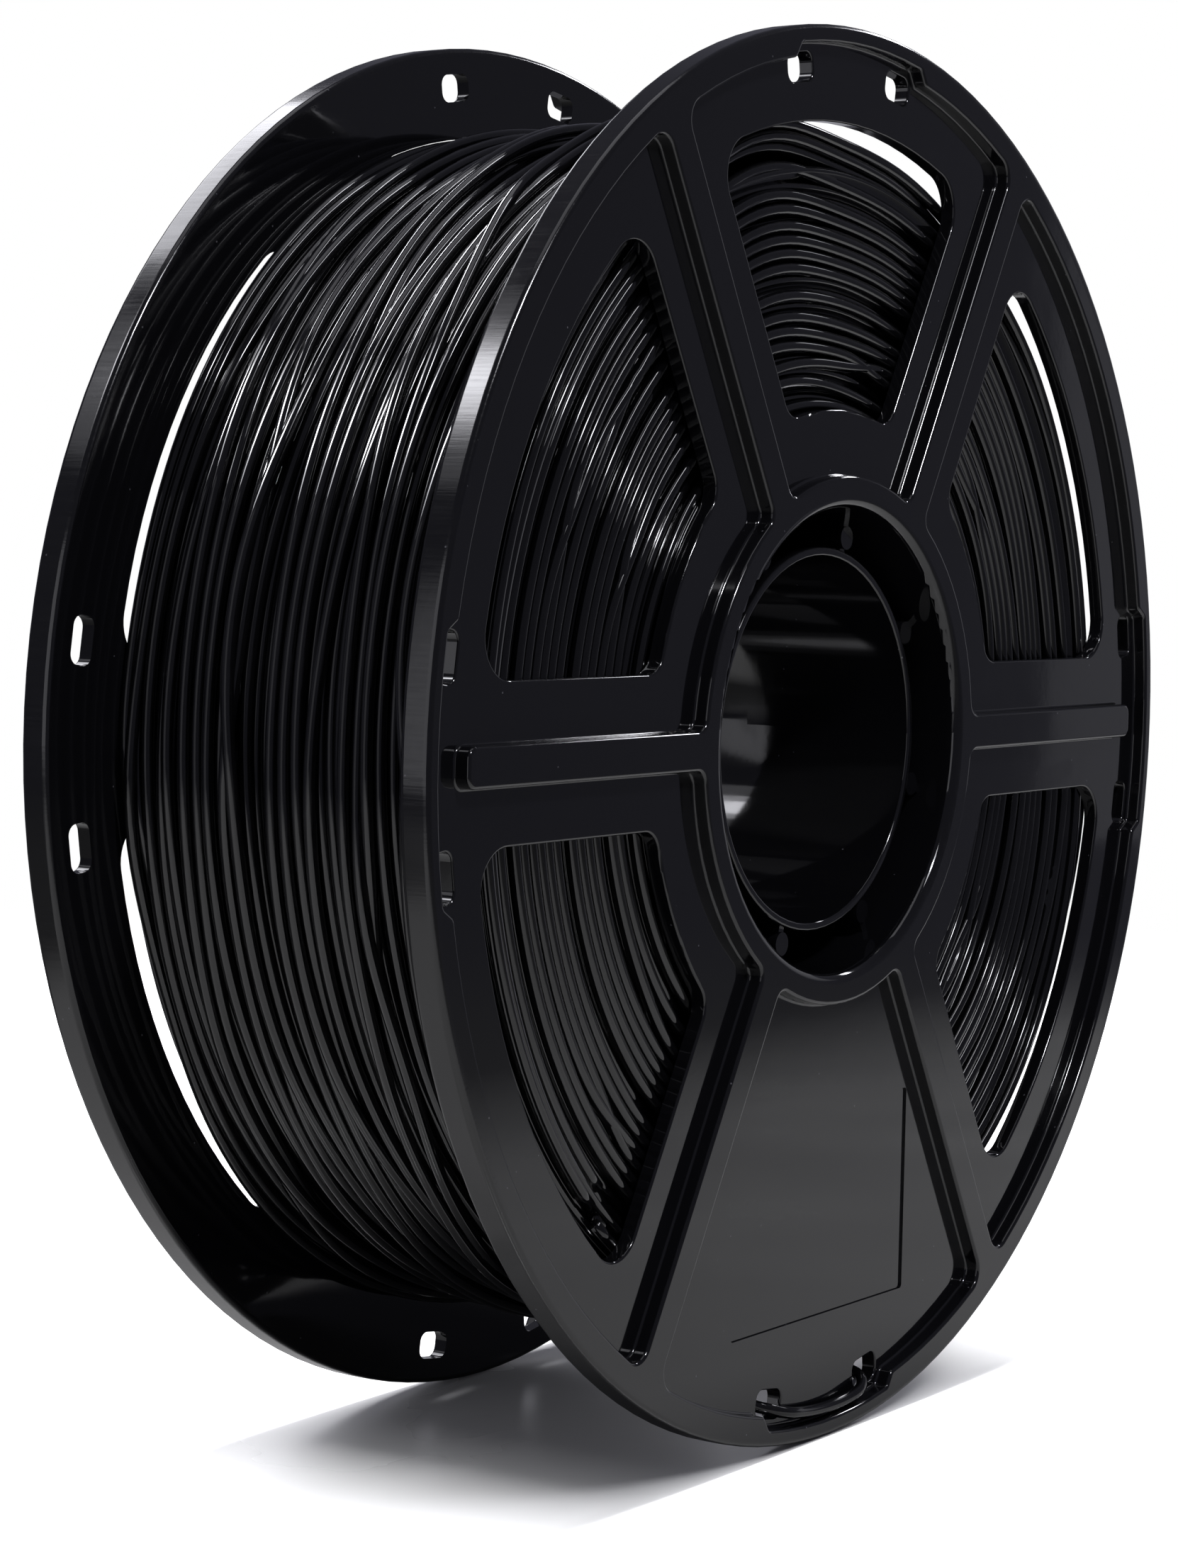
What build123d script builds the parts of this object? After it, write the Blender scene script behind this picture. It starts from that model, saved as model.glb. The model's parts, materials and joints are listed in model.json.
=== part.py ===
"""Filament spool with a full load of filament.

The spool is two plastic mouldings. Each has a flange, half of the barrel that carries the
filament, and half of a smaller tube that turns on a spindle. The halves meet in the middle of
the spool, where a lapped edge and eight pins press together.

Frame: origin in the centre of the spindle tube, midway between the flanges. +Y runs along the
tube from the front flange to the rear flange, +Z is up, millimetres. Each half is drawn with
its own Z axis pointing out of its flange, and is then turned into place.
"""
import os
from math import cos, degrees, hypot, radians, sin, tan

from build123d import *

# Whole spool
flange_radius = 100.0
spool_width = 65.6
outer_face = spool_width / 2

# Flange
flange_thickness = 4.5
pocket_depth = 2.3
inner_face = outer_face - flange_thickness
pocket_floor = outer_face - pocket_depth
rim_edge_radius = 0.8
rim_inner_radius = 95.7
hub_ring_radius = 37.6
edge_fillet = 0.5
floor_fillet = 0.4

# Six ribs, one every 60 degrees. The two level ribs stop short of the rim.
rib_width = 5.3
rib_spacing = 60
level_rib_end = 91.6
slanted_rib_angles = (60, 120)

# Windows between the ribs. The sector at the bottom has none.
window_inner_radius = 46.9
window_outer_radius = 86.9
window_side_offset = 10.4
window_inner_corner = 3.5
window_outer_corner = 5.5
window_angles = (30, 90, 150, 210, 330)
window_edge_fillet = 0.35

# Plan corners of the pockets between the ribs
pocket_rim_corner = 3.0
pocket_hub_corner = 2.0
pocket_step_corner = 0.9

# Tie-off stations at the rim, one every 90 degrees, with a slot at each end
station_angles = (0, 90, 180, 270)
station_outer_radius = 97.6
station_foot_width = 34.0
station_tip_width = 31.6
slot_length = 6.6
slot_width = 4.0
slot_corner = 1.5
slot_radius = 94.3
slot_offset = 13.6
slot_edge_fillet = 0.3

# Label recess in the bottom sector
label_width = 48.4
label_height = 30.2
label_centre = -67.7
label_depth = 0.3
label_corner = 0.6

# Barrel, spindle tube, webs and bosses
barrel_outer_radius = 36.8
barrel_inner_radius = 33.1
barrel_lip_fillet = 1.5
tube_outer_radius = 27.5
tube_inner_radius = 26.2
tube_recess = 4.7
tube_edge_fillet = 0.4
web_count = 8
web_first_angle = 30
web_thickness = 1.3
web_recess = 5.9
boss_radius = 1.7
boss_centre_radius = 29.8
boss_recess = 5.4

# Joint between the halves
lap_length = 3.0
lap_radius = 34.9
lap_gap = 0.05
pin_radius = 0.95
pin_length = 3.0
socket_radius = 1.0
socket_depth = 3.4

# How far a cutting shape runs past the face it cuts, and a joined one into its neighbour
overshoot = 1.0
overlap = 0.1
# How near two lengths are for an edge or corner to count as lying there
tolerance = 0.05

# Filament
filament_diameter = 1.75
winding_outer_radius = 85.5
winding_gap = 0.2

# Route of the filament's end, seen from the front: right, up and out from mid-spool. It leaves
# the winding beside the front flange, comes out through one slot of the bottom station, lies
# along the station's outer wall and is bent back in through the other slot.
filament_end_route = (
    (-57.2, -65.7, 27.2),
    (-46.1, -73.8, 27.2),
    (-34.3, -81.2, 27.2),
    (-24.5, -88.0, 27.2),
    (-15.9, -93.05, 26.9),
    (-11.8, -94.8, 31.8),
    (-3.7, -96.2, 31.6),
    (4.7, -96.4, 31.6),
    (10.9, -95.5, 31.8),
    (13.1, -93.9, 30.2),
    (13.2, -93.2, 26.6),
    (12.7, -92.6, 23.4),
)
bend_share = 0.45


def polar(radius, angle):
    """Point at a radius and an angle in degrees."""
    return (radius * cos(radians(angle)), radius * sin(radians(angle)))


def rib_plan():
    """Plan of the six ribs: two bars across the whole flange and a shorter level one."""
    ribs = RectangleRounded(2 * level_rib_end, rib_width, rib_width * 0.3)
    for angle in slanted_rib_angles:
        ribs += Rot(0, 0, angle) * Rectangle(2 * flange_radius, rib_width)
    return ribs


def station_plan():
    """Plan of the four stations, where the pocket steps out towards the rim."""
    flare = (station_foot_width - station_tip_width) / (station_outer_radius - rim_inner_radius)
    root = 6 * overshoot
    inside, outside = rim_inner_radius - root, station_outer_radius + overshoot
    half_inside = (station_foot_width + root * flare) / 2
    half_outside = (station_tip_width - overshoot * flare) / 2
    outline = Polygon((inside, -half_inside), (outside, -half_outside),
                      (outside, half_outside), (inside, half_inside), align=None)
    outline &= Circle(station_outer_radius)
    plan = Sketch()
    for angle in station_angles:
        plan += Rot(0, 0, angle) * outline
    return plan


def pocket_plan():
    """Plan of the recess between the ribs, the rim and the hub ring, with rounded corners."""
    plan = Circle(rim_inner_radius) + station_plan() - Circle(hub_ring_radius) - rib_plan()

    def corners(radius):
        return plan.vertices().filter_by(lambda v: abs(hypot(v.X, v.Y) - radius) < tolerance)

    def is_at_station(v):
        return min(abs(v.X), abs(v.Y)) < station_foot_width

    plan = fillet(corners(station_outer_radius), pocket_step_corner)
    plan = fillet(corners(rim_inner_radius).filter_by(is_at_station), pocket_step_corner)
    plan = fillet(corners(rim_inner_radius).filter_by(lambda v: not is_at_station(v)),
                  pocket_rim_corner)
    return fillet(corners(hub_ring_radius), pocket_hub_corner)


def window_plan(angle):
    """Plan of one window: sides parallel to the ribs beside it, arcs inside and outside."""
    apex = window_side_offset / sin(radians(rib_spacing / 2))
    far = 1.2 * flange_radius
    points = [polar(apex, angle)]
    for side in (-rib_spacing / 2, rib_spacing / 2):
        dx, dy = polar(far, angle + side)
        points.append((points[0][0] + dx, points[0][1] + dy))
    ring = Circle(window_outer_radius) - Circle(window_inner_radius)
    plan = ring & Polygon(*points, align=None)
    middle = (window_inner_radius + window_outer_radius) / 2
    plan = fillet(plan.vertices().filter_by(lambda v: hypot(v.X, v.Y) < middle),
                  window_inner_corner)
    outer = plan.vertices().filter_by(lambda v: hypot(v.X, v.Y) > window_outer_radius - tolerance)
    return fillet(outer, window_outer_corner)


def slot_plan():
    """Plan of the eight slots."""
    slot = RectangleRounded(slot_width, slot_length, slot_corner)
    turn = degrees(slot_offset / slot_radius)
    plan = Sketch()
    for station in station_angles:
        for side in (-turn, turn):
            plan += Rot(0, 0, station + side) * Pos(slot_radius, 0) * slot
    return plan


def edges_at(solid, height):
    """Edges that lie at one height."""
    return solid.edges().filter_by_position(Axis.Z, height - tolerance, height + tolerance)


def flange():
    """Flange with its pockets, windows, slots and label recess."""
    disc = ring(flange_radius, 0, inner_face, outer_face)
    disc = fillet(disc.edges().filter_by(GeomType.CIRCLE), rim_edge_radius)
    disc -= Pos(0, 0, pocket_floor) * extrude(pocket_plan(), pocket_depth + overshoot)
    disc = fillet(edges_at(disc, pocket_floor), floor_fillet)
    pocket_edges = edges_at(disc, outer_face).filter_by(lambda e: e.length < 2 * flange_radius)
    disc = fillet(pocket_edges, edge_fillet)
    for angle in window_angles:
        cutter = extrude(window_plan(angle), flange_thickness + 2 * overshoot)
        disc -= Pos(0, 0, inner_face - overshoot) * cutter

    def is_round_window(e):
        near = hypot(e.center().X, e.center().Y)
        return window_inner_radius - overshoot < near < window_outer_radius + overshoot

    def is_slot_edge(e):
        from_middle = abs(hypot(e.center().X, e.center().Y) - slot_radius)
        return from_middle < slot_width / 2 + tolerance and e.length < slot_length

    disc = fillet(edges_at(disc, pocket_floor).filter_by(is_round_window), window_edge_fillet)
    slot_depth = pocket_floor - inner_face + 1.5 * overshoot
    disc -= Pos(0, 0, inner_face - overshoot) * extrude(slot_plan(), slot_depth)
    slot_edges = edges_at(disc, pocket_floor).filter_by(is_slot_edge)
    disc = fillet(slot_edges, slot_edge_fillet)
    label = RectangleRounded(label_width, label_height, label_corner)
    label_cutter = extrude(label, label_depth + overlap)
    disc -= Pos(0, label_centre, pocket_floor - label_depth) * label_cutter
    return disc


def ring(outer, inner, low, high):
    """Plain tube between two heights, or a disc where the inner radius is nothing."""
    blank = Circle(outer) - Circle(inner) if inner else Circle(outer)
    return Pos(0, 0, low) * extrude(blank, high - low)


def hub_tube():
    """Half of the tube that turns on the spindle."""
    end = outer_face - tube_recess
    tube = ring(tube_outer_radius, tube_inner_radius, 0, end)
    return fillet(edges_at(tube, end), tube_edge_fillet)


def half(is_front):
    """One moulding. The front one has the lap tongue and the pins, the rear one their seats."""
    body = flange() + ring(barrel_outer_radius, 0, 0, inner_face + overlap)
    body -= ring(barrel_inner_radius, 0, -overshoot, outer_face + overshoot)
    lip = edges_at(body, outer_face).filter_by(GeomType.CIRCLE)
    lip = lip.filter_by(lambda e: abs(e.radius - barrel_inner_radius) < tolerance)
    body = fillet(lip, barrel_lip_fillet) + hub_tube()
    web_middle = (barrel_inner_radius + tube_outer_radius) / 2
    web_length = barrel_inner_radius - tube_outer_radius + 6 * overlap
    web = Pos(web_middle, 0) * Rectangle(web_length, web_thickness)
    boss = Pos(boss_centre_radius, 0) * Circle(boss_radius)
    for number in range(web_count):
        angle = web_first_angle + number * 360 / web_count
        turned = Rot(0, 0, angle if is_front else 180 - angle)
        body += turned * extrude(web, outer_face - web_recess)
        body += turned * extrude(boss, outer_face - boss_recess)
        boss_centre = turned * Pos(boss_centre_radius, 0)
        if is_front:
            body += boss_centre * ring(pin_radius, 0, -pin_length, overshoot)
        else:
            body -= boss_centre * ring(socket_radius, 0, 0, socket_depth)
    if is_front:
        return body + ring(lap_radius - lap_gap, barrel_inner_radius, -lap_length, overshoot)
    return body - ring(lap_radius, barrel_inner_radius - overshoot, 0, lap_length + lap_gap)


def winding():
    """Outer shape of the wound filament: a thick ring that fills the space on the barrel."""
    width = 2 * (inner_face - winding_gap)
    blank = Circle(winding_outer_radius) - Circle(barrel_outer_radius + winding_gap)
    return Rot(90, 0, 0) * Pos(0, 0, -width / 2) * extrude(blank, width)


def filament_end():
    """Last stretch of filament: straight runs joined by arcs as large as the runs allow."""
    points = [Vector(*point) for point in filament_end_route]
    radii = []
    for before, corner, after in zip(points, points[1:], points[2:]):
        arriving, leaving = corner - before, after - corner
        turn = arriving.get_angle(leaving)
        shorter = min(arriving.length, leaving.length)
        radii.append(bend_share * shorter / tan(radians(turn / 2)))
    print("filament end radii", [round(radius, 1) for radius in radii])
    path = FilletPolyline(*points, radius=radii)
    section = Plane(path @ 0, z_dir=path % 0) * Circle(filament_diameter / 2)
    tube = sweep(section, path=path)
    ideal = section.area * path.length
    print(f"filament end volume {tube.volume:.1f}, section x length {ideal:.1f}")
    return tube


def main():
    """Build every piece and write one file for each."""
    to_front = Rot(90, 0, 0)
    to_rear = Rot(0, 0, 180) * Rot(90, 0, 0)
    pieces = {
        "front_half": to_front * half(True),
        "rear_half": to_rear * half(False),
        "filament_winding": winding(),
        "filament_end": to_front * filament_end(),
    }
    os.makedirs("parts", exist_ok=True)
    for name, piece in pieces.items():
        export_step(piece, f"parts/{name}.step")


main()
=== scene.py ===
"""Looks of a full filament spool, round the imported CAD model. Metres, +Z up, +Y to the rear."""
import json
from math import pi, radians

import bmesh
import bpy
import numpy as np
from mathutils import Euler, Matrix, Vector

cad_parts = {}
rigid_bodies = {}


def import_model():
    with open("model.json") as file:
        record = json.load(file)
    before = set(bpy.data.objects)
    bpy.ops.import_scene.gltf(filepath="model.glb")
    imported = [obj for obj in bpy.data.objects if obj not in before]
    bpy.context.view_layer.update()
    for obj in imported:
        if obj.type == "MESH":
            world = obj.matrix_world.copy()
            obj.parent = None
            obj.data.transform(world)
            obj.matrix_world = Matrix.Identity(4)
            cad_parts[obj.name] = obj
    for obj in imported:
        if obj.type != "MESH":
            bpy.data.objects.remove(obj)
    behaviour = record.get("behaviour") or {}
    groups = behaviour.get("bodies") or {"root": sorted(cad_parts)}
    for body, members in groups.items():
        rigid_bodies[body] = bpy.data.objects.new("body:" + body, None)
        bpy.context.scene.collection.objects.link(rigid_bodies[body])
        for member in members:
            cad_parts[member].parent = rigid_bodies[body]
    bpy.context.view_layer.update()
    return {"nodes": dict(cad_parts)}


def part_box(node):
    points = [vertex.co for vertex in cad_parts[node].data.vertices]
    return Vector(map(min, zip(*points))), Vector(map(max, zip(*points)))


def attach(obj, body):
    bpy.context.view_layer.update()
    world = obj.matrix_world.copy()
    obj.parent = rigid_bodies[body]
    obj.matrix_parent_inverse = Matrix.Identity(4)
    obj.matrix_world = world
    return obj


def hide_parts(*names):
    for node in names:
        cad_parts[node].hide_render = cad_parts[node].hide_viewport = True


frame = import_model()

mm = 0.001

# ---------------------------------------------------------------- driving values from the frame
flange_low, flange_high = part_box("front_half")
flange_radius = flange_high[0]
floor_height = flange_low[2]
_, pack_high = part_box("filament_winding")
pack_radius = pack_high[0]
strand_diameter = 1.75 * mm
spool_nodes = [frame["nodes"][name] for name in ("front_half", "rear_half")]

# ---------------------------------------------------------------- camera
camera_place = (-0.4501, -0.2916, 0.0296)
camera_turn = radians(-56.06)
camera_pitch = radians(90 - 4.025)
camera_roll = radians(1.18)
camera_lens = 83.84
camera_sensor = 36.0


def add_camera():
    """Camera of the photograph: left of the front, looking slightly down, a little rolled."""
    data = bpy.data.cameras.new("Camera")
    data.sensor_fit = "VERTICAL"
    data.sensor_height = camera_sensor
    data.lens = camera_lens
    data.clip_start = 0.01
    data.dof.use_dof = False
    camera = bpy.data.objects.new("Camera", data)
    camera.location = camera_place
    turn = Euler((0, 0, camera_turn)).to_matrix()
    pitch = Euler((camera_pitch, 0, 0)).to_matrix()
    roll = Euler((0, 0, camera_roll)).to_matrix()
    camera.rotation_euler = (turn @ pitch @ roll).to_euler()
    bpy.context.scene.collection.objects.link(camera)
    bpy.context.scene.camera = camera


add_camera()


# ---------------------------------------------------------------- node helpers
def new_material(name):
    """Empty node material, its Principled shader and two shorthands to add and link nodes."""
    material = bpy.data.materials.new(name)
    material.use_nodes = True
    tree = material.node_tree
    shader = tree.nodes["Principled BSDF"]

    def add(kind, **values):
        node = tree.nodes.new(kind)
        for key, value in values.items():
            if key in node.inputs:
                node.inputs[key].default_value = value
            else:
                setattr(node, key, value)
        return node

    def link(source, out, target, into):
        tree.links.new(source.outputs[out], target.inputs[into])

    return material, shader, add, link


def ramp(add, stops):
    """Colour ramp with grey or coloured stops given as (place, value)."""
    node = add("ShaderNodeValToRGB")
    while len(node.color_ramp.elements) < len(stops):
        node.color_ramp.elements.new(0.5)
    for element, (place, value) in zip(node.color_ramp.elements, stops):
        element.position = place
        element.color = (*value, 1) if isinstance(value, tuple) else (value, value, value, 1)
    return node


def round_coordinates(add, link, place, per_radian, per_metre):
    """Coordinates round the spool's axis, to draw a pattern out along the turns, and the radius."""
    parts = add("ShaderNodeSeparateXYZ")
    link(place, "Object", parts, 0)
    angle = add("ShaderNodeMath", operation="ARCTAN2")
    link(parts, "Z", angle, 0)
    link(parts, "X", angle, 1)
    flat = add("ShaderNodeCombineXYZ")
    link(parts, "X", flat, "X")
    link(parts, "Z", flat, "Z")
    radius = add("ShaderNodeVectorMath", operation="LENGTH")
    link(flat, "Vector", radius, 0)
    joined = add("ShaderNodeCombineXYZ")
    link(angle, "Value", joined, "X")
    link(radius, "Value", joined, "Y")
    link(parts, "Y", joined, "Z")
    scaled = add("ShaderNodeVectorMath", operation="MULTIPLY")
    scaled.inputs[1].default_value = (per_radian, per_metre[0], per_metre[1])
    link(joined, "Vector", scaled, 0)
    return scaled, radius


# ---------------------------------------------------------------- materials
spool_black = (0.0028, 0.0028, 0.0034)
spool_specks = ((0.0, (0.11, 0.11, 0.115)), (0.03, (0.04, 0.04, 0.045)), (0.045, spool_black))
spool_gloss = ((0.35, 0.04), (0.62, 0.065), (0.78, 0.13))
rim_marks_start = flange_radius - 0.0016
rim_marks_full = flange_radius - 0.0008
rim_wear = 0.16
filament_black = ((0.3, (0.0016, 0.0016, 0.002)), (0.7, (0.0035, 0.0035, 0.004)))
filament_gloss = ((0.3, 0.035), (0.55, 0.055), (0.75, 0.11))


def spool_plastic():
    """Glossy black moulded plastic: flow waves, smudges, dust, and tool marks on the rims."""
    material, shader, add, link = new_material("spool_plastic")
    place = add("ShaderNodeTexCoord")
    waves = add("ShaderNodeTexNoise", Scale=38.0, Detail=2.0, Roughness=0.4)
    link(place, "Object", waves, "Vector")
    smudge = add("ShaderNodeTexNoise", Scale=60.0, Detail=5.0, Roughness=0.6, Distortion=0.8)
    link(place, "Object", smudge, "Vector")
    gloss = ramp(add, spool_gloss)
    link(smudge, "Fac", gloss, "Fac")
    dust = add("ShaderNodeTexVoronoi", Scale=260.0, feature="F1")
    link(place, "Object", dust, "Vector")
    specks = ramp(add, spool_specks)
    link(dust, "Distance", specks, "Fac")
    link(specks, "Color", shader, "Base Color")
    low = add("ShaderNodeBump", Strength=0.05, Distance=0.0008)
    link(waves, "Fac", low, "Height")
    orange_peel = add("ShaderNodeTexNoise", Scale=900.0, Detail=1.0)
    link(place, "Object", orange_peel, "Vector")
    high = add("ShaderNodeBump", Strength=0.02, Distance=0.00006)
    link(orange_peel, "Fac", high, "Height")
    link(low, "Normal", high, "Normal")
    around, radius = round_coordinates(add, link, place, 260.0, (40.0, 120.0))
    chatter = add("ShaderNodeTexNoise", Scale=1.0, Detail=2.0)
    link(around, "Vector", chatter, "Vector")
    on_rim = add("ShaderNodeMapRange")
    on_rim.inputs["From Min"].default_value = rim_marks_start
    on_rim.inputs["From Max"].default_value = rim_marks_full
    link(radius, "Value", on_rim, "Value")
    marks = add("ShaderNodeMath", operation="MULTIPLY")
    link(chatter, "Fac", marks, 0)
    link(on_rim, "Result", marks, 1)
    worn = add("ShaderNodeMath", operation="MULTIPLY_ADD")
    worn.inputs[1].default_value = rim_wear
    link(marks, "Value", worn, 0)
    link(gloss, "Color", worn, 2)
    link(worn, "Value", shader, "Roughness")
    tooled = add("ShaderNodeBump", Strength=0.2, Distance=0.00003)
    link(marks, "Value", tooled, "Height")
    link(high, "Normal", tooled, "Normal")
    link(tooled, "Normal", shader, "Normal")
    shader.inputs["IOR"].default_value = 1.5
    return material


def filament_plastic():
    """Black drawn filament: gloss with fine lines along the strand, duller patches, dimples."""
    material, shader, add, link = new_material("filament")
    place = add("ShaderNodeTexCoord")
    tone = add("ShaderNodeTexNoise", Scale=90.0, Detail=3.0)
    link(place, "Object", tone, "Vector")
    colour = ramp(add, filament_black)
    link(tone, "Fac", colour, "Fac")
    link(colour, "Color", shader, "Base Color")
    gloss = ramp(add, filament_gloss)
    link(tone, "Fac", gloss, "Fac")
    link(gloss, "Color", shader, "Roughness")
    around, _ = round_coordinates(add, link, place, 24.0, (3600.0, 3600.0))
    lines = add("ShaderNodeTexNoise", Scale=1.0, Detail=2.0)
    link(around, "Vector", lines, "Vector")
    drawn = add("ShaderNodeBump", Strength=0.07, Distance=0.00003)
    link(lines, "Fac", drawn, "Height")
    dimples = add("ShaderNodeTexNoise", Scale=520.0, Detail=2.0)
    link(place, "Object", dimples, "Vector")
    bump = add("ShaderNodeBump", Strength=0.02, Distance=0.00008)
    link(dimples, "Fac", bump, "Height")
    link(drawn, "Normal", bump, "Normal")
    link(bump, "Normal", shader, "Normal")
    shader.inputs["IOR"].default_value = 1.52
    return material


black_plastic = spool_plastic()
black_filament = filament_plastic()
for node in spool_nodes:
    for slot in node.material_slots:
        slot.material = black_plastic

# ---------------------------------------------------------------- winding, in millimetres
stations = 180                    # points on each turn
thickness = strand_diameter / mm
row_spacing = 1.81                # between neighbouring turns of the core's surface
seed = 11
settle_steps = 90
settle_pull = 0.09                # inward step at the start
feed_hold = 0.02                  # how far a turn goes back to its feed at each step
passes = 2                        # rounds of parting at each step
below_share = 0.6                 # of an overlap cleared in one round, with the layers below
same_share = 0.35                 # and with turns of the same layer
smooth_passes = 7
pace_spacing, side_spacing, fine_spacing = 70, 34, 15
pace_limits = (0.1, 2.2)
fine_share = 0.5
lead_out_angle = radians(229.0)   # where the tucked end leaves the pack


def eased(part):
    """Ease in and out between 0 and 1."""
    return part * part * (3 - 2 * part)


def wander(rng, points, spacing, size):
    """Smooth random wander along a path."""
    knots = rng.normal(0, size, points // spacing + 3)
    place = np.arange(points) / spacing
    index = place.astype(int)
    part = eased(place - index)
    return knots[index] * (1 - part) + knots[index + 1] * part


def soften(values):
    """Stiffness of the strand: each point moves half way to the middle of its neighbours."""
    inner = values[1:-1] + 0.25 * (values[:-2] - 2 * values[1:-1] + values[2:])
    return np.concatenate((values[:1], inner, values[-1:]))


def push(across, out, others_across, others_out, share, same=False):
    """Shift that parts each turn from the turns it overlaps, station by station."""
    step_across = across[:, None] - others_across[None]
    step_out = out[:, None] - others_out[None]
    gap = np.hypot(step_across, step_out)
    if same:
        own = np.arange(len(across))
        gap[own, own] = 10 * thickness
    scale = share * np.clip(thickness - gap, 0, None) / np.maximum(gap, 1e-6)
    return (step_across * scale).sum(1), (step_out * scale).sum(1)


def settle(feed, out, below, limits, roof):
    """Pull a wound path down on the turns below until it rests in and over their grooves."""
    turns = len(feed) // stations
    across = feed.copy()
    for step in range(settle_steps):
        out = out - settle_pull * (1 - step / settle_steps)
        across = across + feed_hold * (feed - across)
        rows_across = across.reshape(turns, stations)
        rows_out = out.reshape(turns, stations)
        for _ in range(passes):
            below_across, below_out = push(rows_across, rows_out, *below, below_share)
            self_across, self_out = push(
                rows_across, rows_out, rows_across, rows_out, same_share, same=True)
            rows_across = rows_across + below_across + self_across
            rows_out = np.minimum(rows_out + below_out + self_out, roof)
        across = soften(np.clip(rows_across.reshape(-1), *limits))
        out = soften(rows_out.reshape(-1))
    for _ in range(smooth_passes):
        across, out = soften(across), soften(out)
    return across, out


def wound_feed(rng, turns, start, end, pace_wander, side_wander):
    """Where the filament is fed on as it is wound from one side to the other, never evenly."""
    points = turns * stations
    pace = np.clip(1 + wander(rng, points, pace_spacing, pace_wander), *pace_limits)
    travelled = np.cumsum(pace)
    travelled = (travelled - travelled[0]) / (travelled[-1] - travelled[0])
    feed = start + (end - start) * travelled + wander(rng, points, side_spacing, side_wander)
    feed += wander(rng, points, fine_spacing, fine_share * side_wander)
    return np.clip(feed, min(start, end), max(start, end))


def ring_path(across, radius, start_angle):
    """Points and outward directions of a path given by its axial place and radius."""
    angle = start_angle + 2 * pi * np.arange(len(across)) / stations
    outward = np.stack((np.cos(angle), np.zeros_like(angle), np.sin(angle)), axis=1)
    path = outward * radius[:, None]
    path[:, 1] = across
    return path, outward


def smooth_mesh(name, corners, faces):
    """Smooth-shaded mesh from corners in millimetres."""
    mesh = bpy.data.meshes.new(name)
    mesh.from_pydata((corners.reshape(-1, 3) * mm).tolist(), [], faces)
    mesh.polygons.foreach_set("use_smooth", [True] * len(faces))
    mesh.update()
    return mesh


def tube_mesh(name, path, outward, sides):
    """Round tube along a path, with its ends closed."""
    along = np.gradient(path, axis=0)
    along /= np.linalg.norm(along, axis=1)[:, None]
    side = np.cross(along, outward)
    side /= np.linalg.norm(side, axis=1)[:, None]
    up = np.cross(side, along)
    turn = 2 * pi * np.arange(sides) / sides
    section = (up[:, None] * np.cos(turn)[None, :, None]
               + side[:, None] * np.sin(turn)[None, :, None])
    corners = path[:, None] + section * (thickness / 2)
    first = np.arange(len(path) - 1)[:, None] * sides
    here = np.arange(sides)[None]
    after = (here + 1) % sides
    quads = (first + here, first + sides + here, first + sides + after, first + after)
    faces = np.stack(quads, axis=-1).reshape(-1, 4).tolist()
    last = len(path) * sides - 1
    faces.append(list(range(sides)))
    faces.append(list(range(last, last - sides, -1)))
    return smooth_mesh(name, corners, faces)


def add_piece(name, mesh, *replaced):
    """Object that rides on the spool, takes the filament's finish and may replace CAD nodes."""
    piece = bpy.data.objects.new(name, mesh)
    bpy.context.scene.collection.objects.link(piece)
    mesh.materials.append(black_filament)
    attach(piece, "root")
    if replaced:
        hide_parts(*replaced)


# ---------------------------------------------------------------- winding, its sides and its core
half_width = 28.3 - thickness / 2 - 0.05    # half the flanges' gap, less a strand and clearance
core_half_width = half_width - 1.72
base_radius = pack_radius / mm - 5.5
base_rows = 30
side_start = 39.5
side_wander = (0.6, 0.9)
side_turn_spacing = row_spacing * 1.3
side_lift = thickness * 1.3
top_rows = ((29, 0.5, 0.5), (27, 0.5, 0.7), (15, 0.8, 1.6), (13, 0.8, 1.8))
rows_felt = 90                              # uppermost turns that the next layer can rest on
free_radius = 99.0
cone = 0.029                                # rise of the pack's radius to the rear
layer_sides, side_sides = 10, 8             # sides of a strand's tube
lead_out_stations = 70
lead_out_radius = 85.9
scallop_steps = 6

# How far the pack stands out at each angle in degrees, at its front and at its rear edge.
front_swell = (
    (0, 1.2), (10, 0.1), (45, -0.3), (62, 0.1), (75, 0.1), (87, 0.2), (93, 1.4), (98, 3.2),
    (103, 3.9), (118, 1.0), (180, 0.0), (270, 0.2), (300, 1.8), (318, 4.2), (332, 4.4),
    (345, 3.9), (360, 1.2),
)
rear_swell = (
    (0, 0.0), (40, -0.4), (70, 0.2), (85, 0.6), (118, 0.6), (138, 0.0), (160, -0.4),
    (205, 0.1), (215, 0.2), (270, -0.4), (305, 0.0), (340, 0.3), (360, 0.0),
)
swell_rounding = range(-6, 7, 2)


def swell_at(swell, points):
    """Swell at each point of a path, with the corners of its table rounded off."""
    angle = np.degrees(lead_out_angle) + 360 / stations * np.arange(points)
    table = tuple(zip(*swell))
    around = sum(np.interp((angle + turn) % 360, *table) for turn in swell_rounding)
    return around / len(swell_rounding)


def scallops(start, stop, depth):
    """Places and heights of a row of touching half rounds between two places."""
    rows = round((stop - start) / row_spacing)
    turn = pi * np.arange(scallop_steps + 1) / scallop_steps
    place, height = [], []
    for row in range(rows + 1):
        middle = start + (stop - start) * row / rows
        place.extend(middle - thickness / 2 * np.cos(turn))
        height.extend(depth + thickness / 2 * np.sin(turn))
    return np.array(place), np.array(height)


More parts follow.
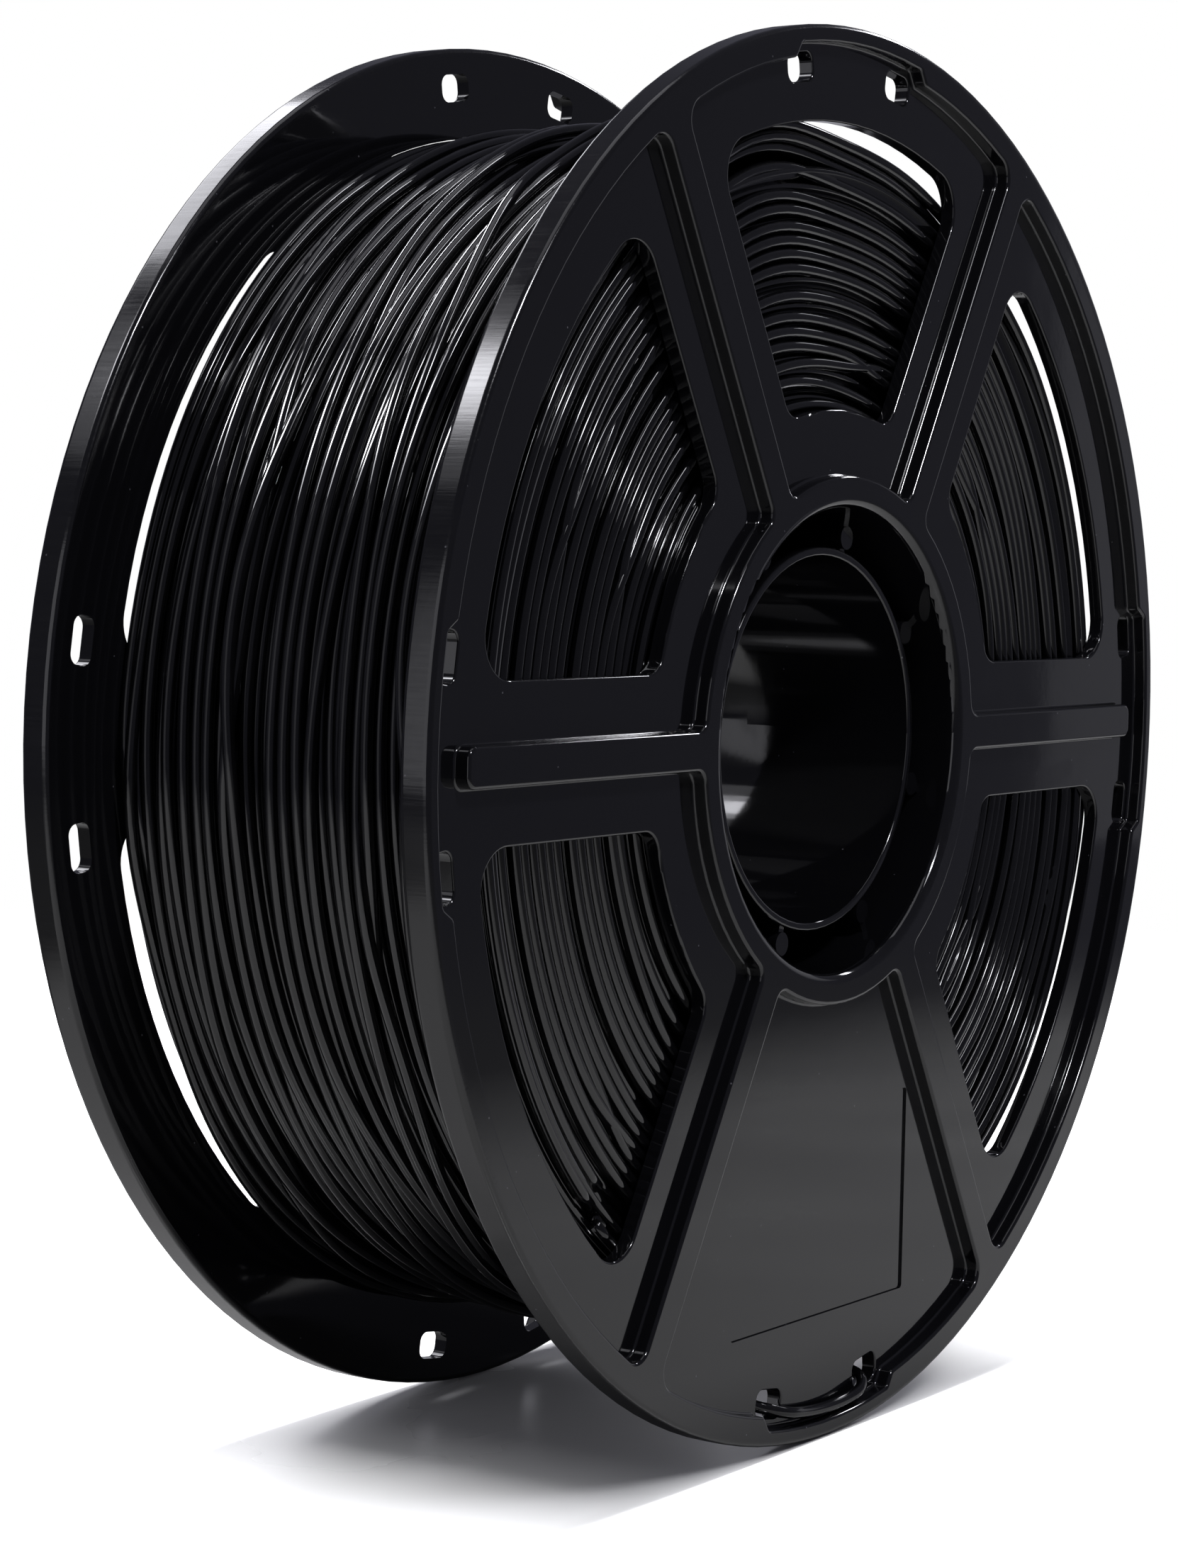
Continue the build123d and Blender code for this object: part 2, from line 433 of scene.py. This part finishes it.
def add_core():
    """Inner mass of the winding: a turned body whose outside and sides are rows of strands."""
    rim_place, rim_height = scallops(-half_width, half_width, base_radius)
    side_place, side_height = scallops(side_start, base_radius - row_spacing, core_half_width)
    across = np.concatenate((-side_height, rim_place, side_height[::-1]))
    radius = np.concatenate((side_place, rim_height, side_place[::-1]))
    turn = 2 * pi * np.arange(stations) / stations
    rows = len(across)
    corners = np.empty((stations, rows, 3))
    corners[:, :, 0] = np.cos(turn)[:, None] * radius[None]
    corners[:, :, 1] = across[None]
    corners[:, :, 2] = np.sin(turn)[:, None] * radius[None]
    here = np.arange(stations)[:, None] * rows
    after = (np.arange(stations)[:, None] + 1) % stations * rows
    step = np.arange(rows)[None]
    onward = (step + 1) % rows
    quads = np.stack((here + step, here + onward, after + onward, after + step), axis=-1)
    mesh = smooth_mesh("winding_core", corners, quads.reshape(-1, 4).tolist())
    add_piece("winding_core", mesh, "filament_winding")


def add_top(rng):
    """The last layers, wound from side to side and settled on each other."""
    rows = np.arange(-half_width, half_width + 0.01, 2 * half_width / base_rows)
    below = [np.repeat(rows[:, None], stations, 1), np.full((len(rows), stations), base_radius)]
    for number, (turns, pace_wander, row_wander) in enumerate(top_rows):
        end = -half_width if (len(top_rows) - number) % 2 else half_width
        feed = wound_feed(rng, turns, -end, end, pace_wander, row_wander)
        out = np.full(len(feed), below[1].max() + thickness)
        across, radius = settle(feed, out, below, (-half_width, half_width), free_radius)
        below[0] = np.vstack((below[0], across.reshape(turns, stations)))[-rows_felt:]
        below[1] = np.vstack((below[1], radius.reshape(turns, stations)))[-rows_felt:]
        rear_share = np.clip((across + half_width) / (2 * half_width), 0, 1)
        radius = radius + cone * across
        radius += rear_share ** 2 * swell_at(rear_swell, len(across))
        radius += (1 - rear_share) ** 2 * swell_at(front_swell, len(across))
        if number == len(top_rows) - 1:
            rise = eased(np.linspace(0, 1, lead_out_stations))
            lead_out = radius[-lead_out_stations:]
            radius[-lead_out_stations:] += rise * (lead_out_radius - lead_out)
        name = f"winding_layer_{number + 1}"
        path, outward = ring_path(across, radius, lead_out_angle)
        add_piece(name, tube_mesh(name, path, outward, layer_sides))


def add_side(name, rng, side, swell):
    """Ends of the layers, seen through the windows: a spiral that rises along the flange."""
    start, end = side_start + 1, base_radius - row_spacing
    rows = np.arange(side_start, end + 0.01, row_spacing)
    below_across = np.repeat(rows[:, None], stations, 1)
    below_out = np.full_like(below_across, core_half_width)
    turns = round((end - start) / side_turn_spacing)
    feed = wound_feed(rng, turns, start, end, *side_wander)
    out = np.full(len(feed), core_half_width + side_lift)
    radius, depth = settle(feed, out, (below_across, below_out), (start, end), half_width)
    share = (radius - side_start) / (base_radius - side_start)
    radius = radius + share ** 2 * swell_at(swell, len(radius))
    path, outward = ring_path(side * depth, radius, lead_out_angle)
    add_piece(name, tube_mesh(name, path, outward, side_sides))


add_core()
rng = np.random.default_rng(seed)
add_top(rng)
add_side("winding_side_front", rng, -1, front_swell)
add_side("winding_side_rear", rng, 1, rear_swell)


# ---------------------------------------------------------------- the tucked end
end_route = (
    (-56.4, -27.2, -64.8), (-46.3, -27.2, -72.9), (-34.3, -27.2, -81.0), (-24.5, -27.2, -88.0),
    (-15.9, -26.9, -93.05), (-11.8, -31.8, -94.8), (-3.7, -31.6, -96.2), (4.7, -31.6, -96.4),
    (10.9, -31.8, -95.5), (13.1, -30.2, -93.9), (13.2, -26.6, -93.2), (12.7, -23.4, -92.6),
)


def add_end():
    """Filament's end, from the top layer out through one slot and back in through the other."""
    data = bpy.data.curves.new("filament_end_strand", "CURVE")
    data.dimensions = "3D"
    data.resolution_u = 16
    data.bevel_depth = strand_diameter / 2
    data.bevel_resolution = 5
    data.use_fill_caps = True
    spline = data.splines.new("NURBS")
    spline.points.add(len(end_route) - 1)
    for point, place in zip(spline.points, end_route):
        point.co = (*(value * mm for value in place), 1)
    spline.order_u = 3
    spline.use_endpoint_u = True
    add_piece("filament_end_strand", data, "filament_end")


add_end()


# ---------------------------------------------------------------- stage
floor_radius = 0.75
floor_drop = 0.0002                         # keeps the floor just clear of the rims
floor_fade = ((0.45, 0.0), (0.7, 1.0))      # from floor to clear, by distance in metres
floor_span = (-0.35, 0.25)                  # along Y, what the painted light band below is mapped to
# Painted light: floor colour seen only in reflections, a bright band near the spool falling to dark
# further along Y.
painted_floor_band = ((0.133, 0.037), (0.267, 0.195), (0.767, 0.195), (0.808, 0.037))
floor_seen = 0.9                            # brightness for the camera
floor_gloss = ((0.35, 0.12), (0.7, 0.3))
room = (0.1, 0.1, 0.125, 1)


def add_floor():
    """Round glossy floor, white to the camera; in reflections darker, with a painted band of light
    near the spool; it fades outwards.
    """
    mesh = bpy.data.meshes.new("floor")
    shape = bmesh.new()
    bmesh.ops.create_circle(shape, cap_ends=True, segments=96, radius=floor_radius)
    bmesh.ops.translate(shape, verts=shape.verts, vec=(0, 0, floor_height - floor_drop))
    shape.to_mesh(mesh)
    shape.free()
    floor = bpy.data.objects.new("floor", mesh)
    bpy.context.scene.collection.objects.link(floor)
    material, shader, add, link = new_material("floor")
    shader.inputs["Specular IOR Level"].default_value = 0.35
    seen = add("ShaderNodeLightPath")
    place = add("ShaderNodeTexCoord")
    parts = add("ShaderNodeSeparateXYZ")
    link(place, "Object", parts, 0)
    across = add("ShaderNodeMapRange")
    for socket, value in zip(("From Min", "From Max"), floor_span):
        across.inputs[socket].default_value = value
    link(parts, "Y", across, "Value")
    # Painted light band along Y; rays other than camera rays get it in place of the camera's white.
    painted_band = ramp(add, painted_floor_band)
    link(across, "Result", painted_band, "Fac")
    to_camera = add("ShaderNodeMath", operation="MULTIPLY")
    to_camera.inputs[1].default_value = floor_seen
    link(seen, "Is Camera Ray", to_camera, 0)
    brightness = add("ShaderNodeMath", operation="MAXIMUM")
    link(to_camera, "Value", brightness, 0)
    link(painted_band, "Color", brightness, 1)
    link(brightness, "Value", shader, "Base Color")
    streaks = add("ShaderNodeTexNoise", Scale=14.0, Detail=4.0)
    link(place, "Object", streaks, "Vector")
    gloss = ramp(add, floor_gloss)
    link(streaks, "Fac", gloss, "Fac")
    link(gloss, "Color", shader, "Roughness")
    reach = add("ShaderNodeVectorMath", operation="LENGTH")
    link(place, "Object", reach, 0)
    fade = ramp(add, floor_fade)
    link(reach, "Value", fade, "Fac")
    clear = add("ShaderNodeBsdfTransparent")
    mix = add("ShaderNodeMixShader")
    link(fade, "Color", mix, "Fac")
    link(shader, "BSDF", mix, 1)
    link(clear, "BSDF", mix, 2)
    link(mix, "Shader", material.node_tree.nodes["Material Output"], "Surface")
    mesh.materials.append(material)
    return floor


def add_world():
    """White behind the object, and a dim room in what it reflects."""
    world = bpy.data.worlds.new("world")
    bpy.context.scene.world = world
    world.use_nodes = True
    tree = world.node_tree
    dim = tree.nodes["Background"]
    dim.inputs["Color"].default_value = room
    dim.inputs["Strength"].default_value = 1.0
    white = tree.nodes.new("ShaderNodeBackground")
    white.inputs["Color"].default_value = (1, 1, 1, 1)
    path = tree.nodes.new("ShaderNodeLightPath")
    mix = tree.nodes.new("ShaderNodeMixShader")
    tree.links.new(path.outputs["Is Camera Ray"], mix.inputs[0])
    tree.links.new(dim.outputs[0], mix.inputs[1])
    tree.links.new(white.outputs[0], mix.inputs[2])
    tree.links.new(mix.outputs[0], tree.nodes["World Output"].inputs["Surface"])


floor = add_floor()
add_world()


# ---------------------------------------------------------------- lights
cool = (1, 1, 1.06)
plain = (1, 1, 1.01)


def light_group(name, objects):
    """Objects that a light can be kept to."""
    group = bpy.data.collections.new(name)
    for item in objects:
        group.objects.link(item)
    return group


def straight_on(place):
    """Point to aim at from a place so that a light faces along X."""
    return 0, place[1], place[2]


def add_light(name, place, size, radiance, only=None, at=1.0, aim=(0, 0, 0), roll=0, tint=cool):
    """Softbox of a given radiance: round for a single size, a rectangle for width and height.

    It falls on the objects in `only`, or on everything. `at` moves it along the line from the
    centre to its place, so that lights in the same direction don't share a plane.
    """
    round_light = not isinstance(size, tuple)
    width, height = (size, size) if round_light else size
    centre = tuple(at * value for value in place)
    data = bpy.data.lights.new(name, "AREA")
    data.shape = "ELLIPSE" if round_light else "RECTANGLE"
    data.size, data.size_y = width, height
    data.energy = radiance * pi * width * height * (pi / 4 if round_light else 1)
    data.color = tint
    light = bpy.data.objects.new(name, data)
    light.location = centre
    facing = (Vector(aim) - Vector(centre)).to_track_quat("-Z", "Y").to_matrix()
    light.rotation_euler = (facing @ Matrix.Rotation(roll, 3, "Z")).to_euler()
    light.visible_camera = False
    bpy.context.scene.collection.objects.link(light)
    if only is not None:
        light.light_linking.receiver_collection = only


def named_like(*starts):
    """Objects whose name starts in one of the given ways."""
    return [piece for piece in bpy.data.objects if piece.name.startswith(starts)]


filament = light_group("lit_filament", named_like("winding_", "filament_end_strand"))
layers = light_group("lit_layers", named_like("winding_layer"))
spool = light_group("lit_spool", spool_nodes)
spool_and_floor = light_group("lit_spool_and_floor", [*spool_nodes, floor])
floor_alone = light_group("lit_floor", [floor])

key_place = (-0.340, 0.318, 0.461)
front_place = (-0.20, -0.55, 0.60)
strip_place = (0.10, 0.52, 0.55)
strip_roll = radians(14.0)
front_strip_roll = radians(20.0)
right_place = (0.95, -0.08, 0.60)
wall_place = (-0.85, 0.10, 0.15)
back_place = (1.3, 0.32, 0.12)
back_far_place = (1.31, 0.42, 0.12)
floor_light_place = (0.10, 0.0, 1.2)
floor_light_aim = (0.10, 0, 0)

add_light("key_left_0", key_place, 0.12, 8.0)
add_light("key_left_1", key_place, 0.19, 3.0, at=1.02)
add_light("key_left_2", key_place, 0.34, 0.8, at=1.04)
add_light("key_left_filament", key_place, 0.11, 40.0, filament, at=0.97)
add_light("key_left_layers", key_place, 0.14, 30.0, layers, at=0.94)
add_light("key_left_layers_glow", key_place, 0.24, 9.0, layers, at=0.91)
add_light("high_front", (0.24, -0.32, 0.68), 0.09, 16.0, filament)
add_light("front_strip", (0.0, -0.45, 0.66), (0.52, 0.07), 13.0, filament, roll=front_strip_roll)
add_light("strip_back", strip_place, (0.46, 0.14), 5.0, roll=strip_roll)
add_light("strip_back_glow", strip_place, (0.60, 0.20), 0.7, at=1.02, roll=strip_roll)
add_light("strip_back_filament", strip_place, (0.46, 0.06), 35.0, filament,
          at=0.97, roll=strip_roll)
add_light("front_top", front_place, (0.20, 0.20), 12.0, spool_and_floor)
add_light("key_spark", key_place, 0.05, 5.0, spool, at=0.88)
add_light("front_spark", front_place, 0.06, 240.0, spool, at=0.88)
add_light("right_spark", right_place, (0.42, 0.07), 22.0, spool, at=0.95)
add_light("front_filament", front_place, 0.08, 48.0, filament, at=0.97)
add_light("front_filament_glow", front_place, 0.22, 3.0, filament)
add_light("right_top", right_place, (0.35, 0.12), 1.6)
add_light("wall_left", wall_place, (0.93, 0.5), 1.05, spool_and_floor, aim=straight_on(wall_place))
add_light("wall_filament", wall_place, (0.45, 1.0), 0.33, filament, aim=straight_on(wall_place))
add_light("wall_back", back_place, (1.95, 0.5), 0.17, aim=straight_on(back_place))
add_light("wall_back_far", back_far_place, (1.95, 0.5), 0.15, aim=straight_on(back_far_place))
add_light("top", (0.0, 0.0, 1.1), (0.8, 0.8), 1.0)
add_light("floor_light", floor_light_place, (1.6, 0.26), 42.0, floor_alone,
          aim=floor_light_aim, tint=plain)
add_light("floor_fill", (0.0, 0.0, 1.3), (2.4, 2.4), 2.8, floor_alone, tint=plain)

scene = bpy.context.scene
scene.view_settings.view_transform = "Standard"
scene.view_settings.look = "None"
